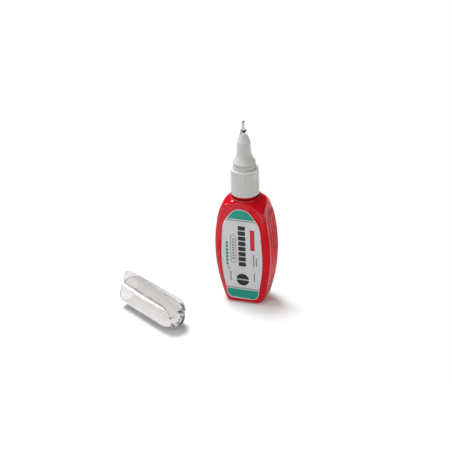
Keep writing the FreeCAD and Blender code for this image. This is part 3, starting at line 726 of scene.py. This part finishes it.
def makeCollar():
    """A turned sleeve whose outer wall is pressed in along evenly spaced V-shaped grooves: the
    depth follows the cosine of the turn times the ribs, cut off below the crest and raised to a
    power below one, and it fades out below the top edge."""
    c = collar
    topEdge = roundedProfile([
        (c["bottomRadius"], c["bottom"], 0), (c["topRadius"], c["top"], c["edge"]),
        (c["hole"], c["top"], 0.12), (c["hole"], c["top"] - c["lid"], 0.1),
        (c["bore"], c["top"] - c["lid"], 0), (c["bore"], c["bottom"], 0.1),
        (c["bottomRadius"], c["bottom"], 0)])
    ribTop = c["top"] - c["edge"]
    wallHeights = np.concatenate([
        [c["bottom"] + c["footEdge"]],
        np.linspace(c["bottom"] + c["wallStart"], ribTop - c["ribFadeStart"] - c["wallStep"], 5),
        np.linspace(ribTop - c["ribFadeStart"], ribTop - c["wallEnd"], 6)])
    lean = (c["topRadius"] - c["bottomRadius"]) / (c["top"] - c["bottom"])
    wall = np.stack([c["bottomRadius"] + lean * (wallHeights - c["bottom"]), wallHeights], -1)
    foot = np.array([[c["bottomRadius"] - c["footEdge"], c["bottom"]]])
    profile = np.concatenate([foot, wall, topEdge[1:-1], foot])
    count = c["ribs"] * c["ribSteps"]
    points = turnedPoints(profile, count)
    turn = np.linspace(0, 2 * math.pi, count, endpoint=False) * c["ribs"]
    groove = np.clip((np.cos(turn) - c["ribCrest"]) / (1 - c["ribCrest"]), 0, 1) ** c["ribPower"]
    fade = np.zeros(len(profile))
    fade[1:len(wall) + 1] = 1 - eased(wallHeights, ribTop - c["ribFadeStart"], ribTop - c["ribFadeEnd"])
    fade[1] = c["ribFootShare"]
    press = 1 - fade[:, None] * groove[None] * c["ribDepth"] / profile[:, :1]
    points[..., :2] *= press[..., None]
    piece = makePiece("ribbedCollar", points, gridFaces(len(profile), count, True),
                      "pen", collarWhite, sharp=60)
    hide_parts("collar")


nozzle = {
    "shoulderTop": 78.3, "shoulderRadius": 6.12, "seatRadius": 6.02, "seatTop": 80.3, "seatEdge": 0.15,
    "recess": 0.55, "lipBottom": 81.0, "lipRadius": 6.0, "lipTop": 81.9, "lipEdge": 0.2,
    "flareTop": 88.8, "flareTopRadius": 3.69, "stepHeight": 93.7, "stepRadius": 3.47, "stepEdge": 0.12,
    "coneBottom": 94.3, "coneBottomRadius": 3.02, "coneTop": 97.5, "coneTopRadius": 2.05,
    "shank": 1.45, "shankBottom": 91.8, "chamber": 2.6, "chamberTaper": 0.6,
    "plugBottom": 70.2, "plugRadius": 4.92, "flangeBottom": 76.0, "flangeTop": 77.0, "flangeRadius": 6.6,
}


def makeNozzle():
    """The plug, the flange and the cap's seat, the concave flare, and the stepped nose with its bore."""
    n = nozzle
    below = roundedProfile([
        (n["chamber"], n["plugBottom"], 0), (n["plugRadius"], n["plugBottom"], 0.3),
        (n["plugRadius"], n["flangeBottom"], 0), (n["flangeRadius"], n["flangeBottom"], 0.15),
        (n["flangeRadius"], n["flangeTop"], 0.15), (n["shoulderRadius"], n["flangeTop"], 0),
        (n["shoulderRadius"], n["shoulderTop"], 0.04), (n["seatRadius"], n["shoulderTop"], 0.03),
        (n["seatRadius"], n["seatTop"], n["seatEdge"]), (n["seatRadius"] - n["recess"], n["seatTop"], 0.03),
        (n["seatRadius"] - n["recess"], n["lipBottom"], 0.03), (n["lipRadius"], n["lipBottom"], n["lipEdge"]),
        (n["lipRadius"], n["lipTop"], 0)])
    flare = uprightArc((n["flareTopRadius"], n["flareTop"]), (n["lipRadius"], n["lipTop"]), 28)[::-1]
    above = roundedProfile([
        (n["flareTopRadius"], n["flareTop"], 0), (n["stepRadius"], n["stepHeight"], n["stepEdge"]),
        (n["coneBottomRadius"], n["coneBottom"], 0.04), (n["coneTopRadius"], n["coneTop"], 0.06),
        (n["shank"], n["coneTop"], 0), (n["shank"], n["shankBottom"], 0),
        (n["chamber"] - n["chamberTaper"], n["shankBottom"], 0),
        (n["chamber"], n["shankBottom"] - n["chamberTaper"], 0), (n["chamber"], n["plugBottom"], 0)])
    profile = np.concatenate([below, flare[1:], above[1:]])
    piece = makeTurned("whiteNozzle", profile, 128, "pen", nozzleWhite, sharp=40)
    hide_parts("nozzle")


tip = {
    "ferruleBottom": 97.5, "ferruleBottomRadius": 1.95, "ferruleTop": 99.7, "ferruleTopRadius": 1.54,
    "ferruleEdge": 0.18, "shank": 1.45, "shankBottom": 91.8, "ferruleBore": 0.56, "tubeFoot": 95.3,
    "tubeRadius": 0.78, "tubeWall": 0.2, "tubeTop": 104.97, "tubeRoll": 0.45, "tubeEnd": 0.45,
    "tubeMouth": 0.27, "mouthWall": 0.12,
    "pinRadius": 0.36, "pinEnd": 0.17, "pinStandOut": 0.28, "pinChamfer": 0.08, "pinFoot": 88.3,
    "seatClearance": 0.02,
}


def makeTip():
    """The ferrule, the tube with a cone inside its mouth, and the pin whose own cone rests in that one."""
    t = tip
    ferrule = roundedProfile([
        (t["ferruleBore"], t["shankBottom"], 0), (t["shank"], t["shankBottom"], 0.1),
        (t["shank"], t["ferruleBottom"], 0), (t["ferruleBottomRadius"], t["ferruleBottom"], 0.06),
        (t["ferruleTopRadius"], t["ferruleTop"], t["ferruleEdge"]), (t["tubeRadius"], t["ferruleTop"], 0),
        (t["tubeRadius"], t["tubeFoot"], 0), (t["ferruleBore"], t["tubeFoot"], 0),
        (t["ferruleBore"], t["shankBottom"], 0)])
    piece = makeTurned("tipFerrule", ferrule, 96, "pen", chromeTurned, sharp=45)
    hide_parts("tip_ferrule")
    inside = t["tubeRadius"] - t["tubeWall"]
    seatStart = t["tubeTop"] - t["tubeRoll"] - t["tubeWall"] / 2
    tube = roundedProfile([
        (inside, t["tubeFoot"], 0), (t["tubeRadius"], t["tubeFoot"], 0),
        (t["tubeRadius"], t["tubeTop"] - t["tubeRoll"] * 0.6, 0.3),
        (t["tubeEnd"], t["tubeTop"], 0.05), (t["tubeMouth"], t["tubeTop"], 0.02),
        (t["tubeMouth"], t["tubeTop"] - t["mouthWall"], 0), (inside, seatStart, 0),
        (inside, t["tubeFoot"], 0)])
    piece = makeTurned("tipTube", tube, 48, "pen", tubeSteel, sharp=40)
    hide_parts("tip_tube")
    slope = (inside - t["tubeMouth"]) / (t["tubeTop"] - t["mouthWall"] - seatStart)
    taperStart = seatStart + (inside - t["pinRadius"] - t["seatClearance"]) / slope
    end = t["tubeTop"] + t["pinStandOut"]
    pin = roundedProfile([
        (0, t["pinFoot"], 0), (t["pinRadius"], t["pinFoot"], 0), (t["pinRadius"], taperStart, 0),
        (t["pinEnd"], taperStart + (t["pinRadius"] - t["pinEnd"]) / slope, 0),
        (t["pinEnd"], end, t["pinChamfer"]), (0, end, 0)])
    piece = makeTurned("valvePin", pin, 40, "valve", pinSteel, sharp=45)
    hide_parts("valve_pin")


makeCollar()
makeNozzle()
makeTip()
print("collar, nozzle and tip made")


# The cap is drawn standing on its mouth with the clip towards +Y, and then laid down.

cap = {
    "radius": 7.5, "length": 43.3, "straight": 36.0, "domeEnd": (5.65, 40.5),
    "upperStart": (5.35, 40.6), "upperMiddle": (4.95, 41.4), "upperEnd": (4.35, 42.1),
    "discFoot": (4.0, 42.2), "discEdge": (3.4, 43.0), "discRadius": 3.1, "mouthEdge": 0.3,
    "mouthGap": 0.2, "mouthFrom": 2.0, "mouthBore": 6.1, "mouthDepth": 9.3,
    "mouthStep": 0.4, "mouthLead": 0.4,
    "bore": 5.7, "boreTop": (5.4, 33.6), "boreMiddle": (4.75, 37.9), "boreEnd": (3.2, 41.0),
    "boreSlope": 0.9, "endWall": 1.3,
    "steps": 240, "holeSteps": 24,
    # the vent holes, and the dark cups of painted shade set into them
    "holeRadius": 0.47, "holePitch": 1.67, "holeTurn": -47.0, "shadeCupWall": 0.04, "shadeCupDepth": 1.2,
    "shadeCupGap": 0.01, "shadeCupSetBack": 0.02,
    "clipThickness": 1.25, "clipCrown": 0.4, "clipOutside": 9.3, "clipBend": 5.2, "clipSetBack": 0.4,
    "clipFoot": 3.0, "clipEdge": 0.55, "clipEdgeShare": 0.9, "clipEndHalf": 5.55,
    "clipTipLength": 8.0, "clipFirstRow": 0.012,
    "farSide": ((-4.6, 2.24), (-4.45, 3.2), (-3.7, 4.14), (-2.2, 4.75), (0.0, 4.85)),
    "nearSide": ((-4.6, 2.24), (-4.5, 1.2), (-3.84, -0.1), (-1.03, -2.61), (1.8, -4.4), (3.2, -4.9)),
    "heading": -31.7, "turn": 7.1, "mouth": (-59.54, -24.34),
}


def layDown(points):
    """Turns cap points about the cap's axis, lays the axis level and puts the mouth in its place."""
    turn = math.radians(cap["turn"])
    heading = math.radians(90 + cap["heading"])
    x = points[..., 0] * math.cos(turn) - points[..., 1] * math.sin(turn)
    up = points[..., 0] * math.sin(turn) + points[..., 1] * math.cos(turn)
    y = -points[..., 2]
    return np.stack([x * math.cos(heading) - y * math.sin(heading) + cap["mouth"][0],
                     x * math.sin(heading) + y * math.cos(heading) + cap["mouth"][1],
                     up + cap["radius"]], -1)


def capProfile():
    """The cap's wall from its end down the outside, round the mouth and up the bore to the end."""
    c = cap
    floor = c["length"] - c["endWall"]
    disc = roundedProfile([(0, c["length"], 0), (c["discRadius"], c["length"], 0.25), (*c["discEdge"], 0.3),
                           (*c["discFoot"], 0.15), (*c["upperEnd"], 0)])
    upper = arcProfile(c["upperEnd"], c["upperMiddle"], c["upperStart"], 7)
    dome = uprightArc((c["radius"], c["straight"]), c["domeEnd"], 16)[::-1]
    wall = np.linspace((c["radius"], c["straight"]), (c["radius"], c["mouthEdge"] + c["mouthGap"]), 12)
    mouth = roundedProfile([(c["radius"], c["mouthFrom"], 0), (c["radius"], 0, c["mouthEdge"]),
                            (c["mouthBore"] + c["mouthLead"], 0, 0.1), (c["mouthBore"], c["mouthLead"], 0.2),
                            (c["mouthBore"], c["mouthDepth"], 0.12),
                            (c["bore"], c["mouthDepth"] + c["mouthStep"], 0.15), (*c["boreTop"], 0)])
    bore = arcProfile(c["boreTop"], c["boreMiddle"], c["boreEnd"], 14)
    end = roundedProfile([(*c["boreEnd"], 0), (c["boreEnd"][0] - c["boreSlope"], floor, 0.3), (0, floor, 0)])
    return np.concatenate([disc, upper[1:], dome, wall[1:], mouth[1:], bore[1:], end[1:]])


def clipPoints():
    """The clip's rounded section carried along its run, its bend and its drop to the dome."""
    c = cap
    middle = c["clipOutside"] - c["clipThickness"] / 2
    turnRadius = c["clipBend"] - c["clipThickness"] / 2
    turnStart = c["length"] - c["clipSetBack"] - c["clipBend"]
    arc = turnRadius * math.pi / 2
    drop = middle - turnRadius - c["clipFoot"]
    tipAt = c["farSide"][0][0]
    tipEnd = tipAt + c["clipTipLength"]
    start = tipAt + c["clipTipLength"] * np.linspace(c["clipFirstRow"], 1, 34) ** 2
    along = np.concatenate([start, np.linspace(tipEnd, turnStart, 14)[1:],
                            turnStart + np.linspace(0, arc, 15)[1:],
                            turnStart + arc + np.linspace(0, drop, 4)[1:]])
    total = turnStart + arc + drop
    # Both edges of the outline run through their knots, with the corners there smoothed away.
    outline = []
    for side, half in ((c["farSide"], c["clipEndHalf"]), (c["nearSide"], -c["clipEndHalf"])):
        knots = np.array(side + ((total, half),))
        line = np.interp(along, knots[:, 0], knots[:, 1])
        for _ in range(3):
            line[1:-1] = (line[:-2] + 2 * line[1:-1] + line[2:]) / 4
        outline.append(line[:, None])
    high, low = outline
    edge = np.minimum(c["clipEdge"], (high - low) / 2 * c["clipEdgeShare"])
    turns = np.linspace(-math.pi / 2, math.pi / 2, 9)[None]
    halfThick = c["clipThickness"] / 2
    flatShare = np.linspace(0, 1, 11)[None, 1:-1]
    sideX = edge * np.cos(turns)
    sideN = halfThick * np.sin(turns)
    rightX, rightN = high - edge + sideX, sideN + 0 * high
    topX = (high - edge) + (low - high + 2 * edge) * flatShare
    leftX, leftN = low + edge - sideX[:, ::-1], sideN[:, ::-1] + 0 * low
    bottomX = (low + edge) + (high - low - 2 * edge) * flatShare
    x = np.concatenate([rightX, topX, leftX, bottomX], 1)
    n = np.concatenate([rightN, halfThick + 0 * topX, leftN, -halfThick + 0 * bottomX], 1)
    crown = c["clipCrown"] * (1 - (x / c["clipEndHalf"]) ** 2) - c["clipCrown"]
    n = n + np.where(n > 0, crown, 0) * np.clip(n / halfThick, 0, 1)
    s = along[:, None] + 0 * x
    angle = np.clip((s - turnStart) / turnRadius, 0, math.pi / 2)
    past = np.clip(s - turnStart - arc, 0, None)
    straight = np.minimum(s, turnStart)
    z = straight + (turnRadius + n) * np.sin(angle)
    y = (middle - turnRadius) + (turnRadius + n) * np.cos(angle) - past
    return np.stack([x, y, z], -1)


def makeLoopSolid(name, points, material):
    """A swept solid: rings of points joined into a tube, with both ends closed."""
    rows, columns = points.shape[:2]
    faces = gridFaces(rows, columns, True).tolist()
    faces += [list(range(columns)), list(range((rows - 1) * columns, rows * columns))]
    return makePiece(name, points, faces, None, material)


def applyBoolean(target, tool, operation):
    modifier = target.modifiers.new("cut", "BOOLEAN")
    modifier.operation = operation
    modifier.object = tool
    modifier.solver = "EXACT"
    graph = bpy.context.evaluated_depsgraph_get()
    mesh = bpy.data.meshes.new_from_object(target.evaluated_get(graph))
    target.modifiers.clear()
    target.data = mesh
    bpy.data.objects.remove(tool)


def atHeight(ring, level):
    return np.concatenate([ring, np.full((len(ring), 1), level)], 1)


def makeCap():
    """The turned shell joined with its clip, with vent holes through its end and dark cups of painted shade
    in them.
    """
    c = cap
    profile = capProfile()
    shell = turnedPoints(profile, c["steps"])
    piece = makePiece("clearCap", layDown(shell), gridFaces(len(profile), c["steps"], True),
                      "pen", clearCap)
    applyBoolean(piece, makeLoopSolid("clipTool", layDown(clipPoints()), clearCap), "UNION")
    turn = math.radians(c["holeTurn"])
    angles = np.linspace(0, 2 * math.pi, c["holeSteps"], endpoint=False)
    circle = np.stack([np.cos(angles), np.sin(angles)], -1)
    foot, top = c["length"] - c["shadeCupDepth"], c["length"] - c["shadeCupSetBack"]
    shadeCups, shadeCupFaces = [], []
    for place in (-1, 0, 1):
        middle = place * c["holePitch"] * np.array([-math.sin(turn), math.cos(turn)])
        centre = middle + 0 * circle
        outer = middle + (c["holeRadius"] - c["shadeCupGap"]) * circle
        inner = middle + (c["holeRadius"] - c["shadeCupWall"]) * circle
        loops = [(centre, foot - c["shadeCupWall"]), (outer, foot - c["shadeCupWall"]), (outer, top),
                 (inner, top), (inner, foot), (centre, foot)]
        shadeCupFaces.append(gridFaces(len(loops), c["holeSteps"], True) + len(shadeCups) * c["holeSteps"])
        shadeCups += [atHeight(loop, level) for loop, level in loops]
        ring = middle + c["holeRadius"] * circle
        levels = (c["length"] - c["endWall"] - 1, c["length"] + 1)
        hole = np.stack([atHeight(ring, level) for level in levels])
        applyBoolean(piece, makeLoopSolid("holeTool", layDown(hole), clearCap), "DIFFERENCE")
    # Painted shade: the dark cups in the holes make them look dark.
    shadeCupPiece = makePiece("ventShadeCups", layDown(np.array(shadeCups)), np.concatenate(shadeCupFaces),
                      "pen", ventShade)
    for mesh in (shadeCupPiece.data, piece.data):
        tidyMesh(mesh, 35)
    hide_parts("cap")


makeCap()
print("cap made")


# The CAD's own meshes that stay, all out of sight, take their finishes.

nodeFinish = {
    "neck_seal": nitrile, "valve_head": valveBrass, "valve_spring": pinSteel,
    "spring_seat": nozzleWhite, "mixing_ball": tubeSteel,
}
for nodeName, finish in nodeFinish.items():
    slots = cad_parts[nodeName].data.materials
    slots.clear()
    slots.append(finish)
print("inner nodes finished")


# Floor, world and lamps, in metres and watts. The floor is pale and matt. In reflections it glows
# in zones, as a studio's cards would make it, and it glows evenly where it is seen straight
# through the clear cap.

stage = {
    "floorSize": 6.0, "floorColour": "#f0f0f0", "floorShown": "#ffffff", "floorInClear": 0.92,
    "whiteFrom": 0.2, "whiteTo": 0.5,
    # painted light that lifts the bottle's shadow: how much white glow, the slant of its line, and where it
    # starts and ends
    "shadowLiftShare": 0.95, "shadowLiftLean": 0.6, "shadowLiftFrom": 0.0085, "shadowLiftTo": 0.017,
    # shares of x and y in the line along which a zone changes, where the change starts and ends,
    # the strength at both, and the side of y that the zone is held to
    "mirrorZones": (
        # dim under the bottle and in front of it, and a little brighter behind
        (0.0, 1.0, -0.07, 0.03, 0.16, 0.24, None),
        # bright further in front
        (0.0, 1.0, -0.13, -0.17, 0.16, 0.95, None),
        # bright to the left of the bottle's front
        (1.0, -0.2, -0.004, -0.014, 0.16, 0.8, ("LESS_THAN", 0.0)),
        # bright far behind
        (0.0, 1.0, 0.10, 0.24, 0.0, 0.9, None),
        # bright beyond a slanting line at the right, which draws the edges of the grip grooves
        (1.0, -0.75, 0.014, 0.018, 0.0, 1.6, ("GREATER_THAN", 0.002)),
    ),
    "skyLow": 0.13, "skyHigh": 0.28, "skyInGloss": 0.05,
    "lamps": (
        # name, place, target, size, watts, whether it is a highlight alone
        ("keyLamp", (-0.36, 0.22, 1.10), (0.0, 0.0, 0.03), 0.70, 13.5, False),
        ("frontLamp", (-0.95, -1.15, 0.85), (0.0, 0.0, 0.05), 1.4, 11.0, False),
        ("sideLamp", (1.25, -0.30, 0.70), (0.0, 0.0, 0.05), 1.2, 5.0, False),
        ("glintLamp", (-0.82, 0.20, 0.85), (0.0, 0.0, 0.06), 0.16, 1.2, True),
        ("capLamp", (-0.284, -0.034, 0.187), (-0.04, -0.036, 0.012), 0.11, 0.25, True),
    ),
}


def addMath(tree, operation, *values):
    """A math node whose inputs are numbers or other nodes' sockets."""
    node = addNode(tree, "ShaderNodeMath", settings={"operation": operation})
    for socket, value in zip(node.inputs, values):
        if isinstance(value, float):
            socket.default_value = value
        else:
            tree.links.new(value, socket)
    return node.outputs[0]


def mixShaders(tree, share, first, second):
    return addNode(tree, "ShaderNodeMixShader", links={"Fac": share, 1: first, 2: second}).outputs[0]


def throughClear(tree, path):
    """1 for a ray that comes straight through the clear cap, and 0 for one that was scattered first."""
    direct = addMath(tree, "LESS_THAN", path.outputs["Diffuse Depth"], 0.5)
    return addMath(tree, "MULTIPLY", path.outputs["Is Transmission Ray"], direct)


def mirroredFloor(tree, x, y):
    """The floor as reflections show it: the strongest of the zones, each a ramp over the floor."""
    strength = None
    for shareX, shareY, start, end, low, high, held in stage["mirrorZones"]:
        along = addMath(tree, "MULTIPLY_ADD", y, shareY, addMath(tree, "MULTIPLY", x, shareX))
        zone = addRange(tree, along, low, high, start, end)
        if held:
            zone = addMath(tree, "MULTIPLY", zone, addMath(tree, held[0], y, held[1]))
        strength = zone if strength is None else addMath(tree, "MAXIMUM", strength, zone)
    return addNode(tree, "ShaderNodeEmission", links={"Strength": strength}).outputs[0]


def makeFloor():
    half = stage["floorSize"] / 2
    mesh = bpy.data.meshes.new("floor")
    corners = [(-half, -half, 0), (half, -half, 0), (half, half, 0), (-half, half, 0)]
    mesh.from_pydata(corners, [], [(0, 1, 2, 3)])
    floor = bpy.data.objects.new("floor", mesh)
    bpy.context.scene.collection.objects.link(floor)
    material, tree = newMaterial("paleFloor")
    path = addNode(tree, "ShaderNodeLightPath")
    place = objectPlace(tree)
    parts = addNode(tree, "ShaderNodeSeparateXYZ", links={0: place})
    x, y = parts.outputs["X"], parts.outputs["Y"]
    matt, shown = (
        addNode(tree, "ShaderNodeBsdfDiffuse", inputs={"Color": linearColour(stage[name])}).outputs[0]
        for name in ("floorColour", "floorShown"))
    # For the camera the floor turns evenly white away from the object, like the background. To the bottle's
    # right and behind it, painted light lifts the bottle's shadow: white glow is mixed in, so the shadow
    # fades sooner there.
    away = addNode(tree, "ShaderNodeVectorMath", settings={"operation": "LENGTH"}, links={0: place})
    fade = addRange(tree, away.outputs["Value"], 0.0, 1.0, stage["whiteFrom"], stage["whiteTo"])
    slanting = addMath(tree, "MULTIPLY_ADD", x, stage["shadowLiftLean"], y)
    paintedShadowLift = addRange(tree, slanting, 0.0, stage["shadowLiftShare"], stage["shadowLiftFrom"], stage["shadowLiftTo"])
    white = addNode(tree, "ShaderNodeEmission", inputs={"Strength": 1.0}).outputs[0]
    seen = mixShaders(tree, addMath(tree, "MAXIMUM", fade, paintedShadowLift), shown, white)
    toCamera = mixShaders(tree, path.outputs["Is Camera Ray"], matt, seen)
    toGloss = mixShaders(tree, path.outputs["Is Glossy Ray"], toCamera, mirroredFloor(tree, x, y))
    behindClear = addNode(tree, "ShaderNodeEmission", inputs={"Strength": stage["floorInClear"]}).outputs[0]
    toClear = mixShaders(tree, throughClear(tree, path), toGloss, behindClear)
    addNode(tree, "ShaderNodeOutputMaterial", links={"Surface": toClear})
    mesh.materials.append(material)


def makeWorld():
    """Soft light from all round, dim in reflections, and white for the camera and behind the cap."""
    world = bpy.data.worlds.new("studio")
    bpy.context.scene.world = world
    world.use_nodes = True
    tree = world.node_tree
    tree.nodes.clear()
    path = addNode(tree, "ShaderNodeLightPath")
    direction = addNode(tree, "ShaderNodeSeparateXYZ",
                        links={0: addNode(tree, "ShaderNodeTexCoord").outputs["Generated"]})
    sky = addRange(tree, direction.outputs["Z"], stage["skyLow"], stage["skyHigh"])
    mirrored = addNode(tree, "ShaderNodeMix", inputs={"B": stage["skyInGloss"]},
                       links={"Factor": path.outputs["Is Glossy Ray"], "A": sky})
    background = addMath(tree, "MAXIMUM", path.outputs["Is Camera Ray"], throughClear(tree, path))
    shown = addNode(tree, "ShaderNodeMix", inputs={"B": 1.0},
                    links={"Factor": background, "A": mirrored.outputs["Result"]})
    back = addNode(tree, "ShaderNodeBackground", links={"Strength": shown.outputs["Result"]})
    addNode(tree, "ShaderNodeOutputWorld", links={"Surface": back.outputs[0]})


def makeLamps():
    for name, place, target, size, watts, highlight in stage["lamps"]:
        lamp = bpy.data.lights.new(name, "AREA")
        lamp.shape = "DISK"
        lamp.size = size
        lamp.energy = watts
        holder = bpy.data.objects.new(name, lamp)
        back = np.array(place) - np.array(target)
        back /= np.linalg.norm(back)
        side = np.cross((0, 0, 1), back)
        side /= np.linalg.norm(side)
        matrix = np.eye(4)
        matrix[:3, 0], matrix[:3, 1], matrix[:3, 2], matrix[:3, 3] = side, np.cross(back, side), back, place
        holder.matrix_world = Matrix(matrix.tolist())
        holder.visible_glossy = highlight
        holder.visible_diffuse = not highlight
        holder.visible_transmission = False
        bpy.context.scene.collection.objects.link(holder)


makeFloor()
makeWorld()
makeLamps()
bpy.context.scene.view_settings.view_transform = "Standard"
print("stage made")
